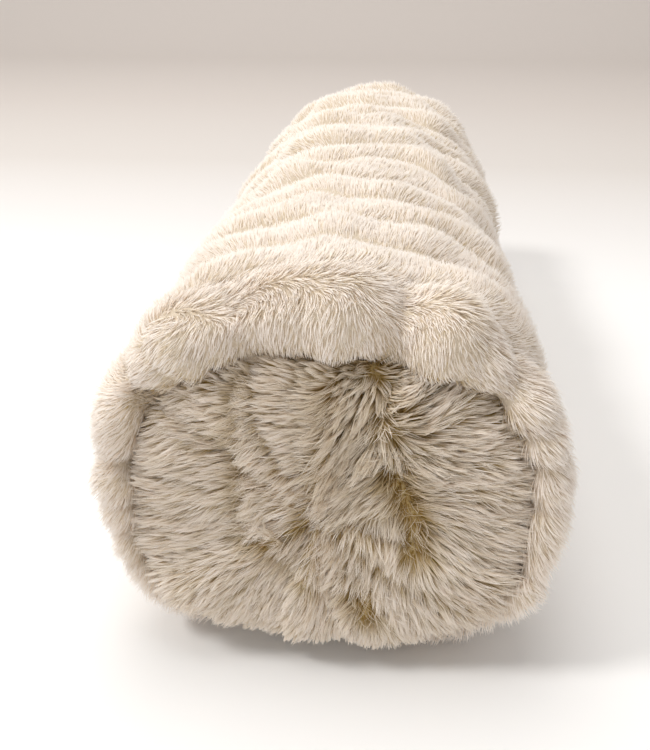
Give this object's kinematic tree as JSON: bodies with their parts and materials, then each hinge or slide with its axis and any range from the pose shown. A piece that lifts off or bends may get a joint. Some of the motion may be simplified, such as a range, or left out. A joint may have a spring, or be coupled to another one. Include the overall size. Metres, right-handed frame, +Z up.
{
  "type": "bolster pillow",
  "caption": "Long round bolster pillow in cream faux fur with plump ribs round the tube and flat fur end panels, over a stuffed insert, closed by a hidden zip.",
  "frame": {"origin": "middle of the flat underside on which the bolster rests", "axes": "+Y along the tube from the front end panel to the rear one, +Z up, +X to the side that has the zip"},
  "size_m": [0.235, 0.62, 0.215],
  "materials": {
    "plush": "matte",
    "cover_thread": "satin",
    "zip_tape": "matte",
    "zip_coil": "satin",
    "zip_metal": "satin",
    "ticking": "matte",
    "insert_thread": "satin",
    "fibre": "matte",
    "label": "satin"
  },
  "bodies": {
    "bolster": {"cover_tube_panel": "plush", "cover_front_end": "plush", "cover_rear_end": "plush", "cover_front_seam_thread": "cover_thread", "cover_rear_seam_thread": "cover_thread", "cover_side_seam_thread": "cover_thread", "zipper_tape_upper": "zip_tape", "zipper_tape_lower": "zip_tape", "zipper_coil_upper": "zip_coil", "zipper_coil_lower": "zip_coil", "zipper_stitching_upper": "cover_thread", "zipper_stitching_lower": "cover_thread", "zipper_top_stops": "zip_metal", "zipper_bottom_stop": "zip_metal", "insert_tube_ticking": "ticking", "insert_front_ticking": "ticking", "insert_rear_ticking": "ticking", "insert_front_seam_thread": "insert_thread", "insert_rear_seam_thread": "insert_thread", "insert_closing_stitches": "insert_thread", "fibre_fill": "fibre", "care_label": "label"},
    "slider": {"zipper_slider": "zip_metal"},
    "pull_tab": {"zipper_pull_tab": "zip_metal"}
  },
  "joints": [
    {"name": "zip_travel", "type": "slide", "parent": "bolster", "child": "slider", "axis": [0, 1, 0], "range_m": [0, 0.376]},
    {"name": "tab_swing", "type": "hinge", "parent": "slider", "child": "pull_tab", "pos_m": [0.112, -0.18825, 0.11324], "axis": [0.1392, 0, -0.9903], "range_deg": [0, 165]}
  ]
}
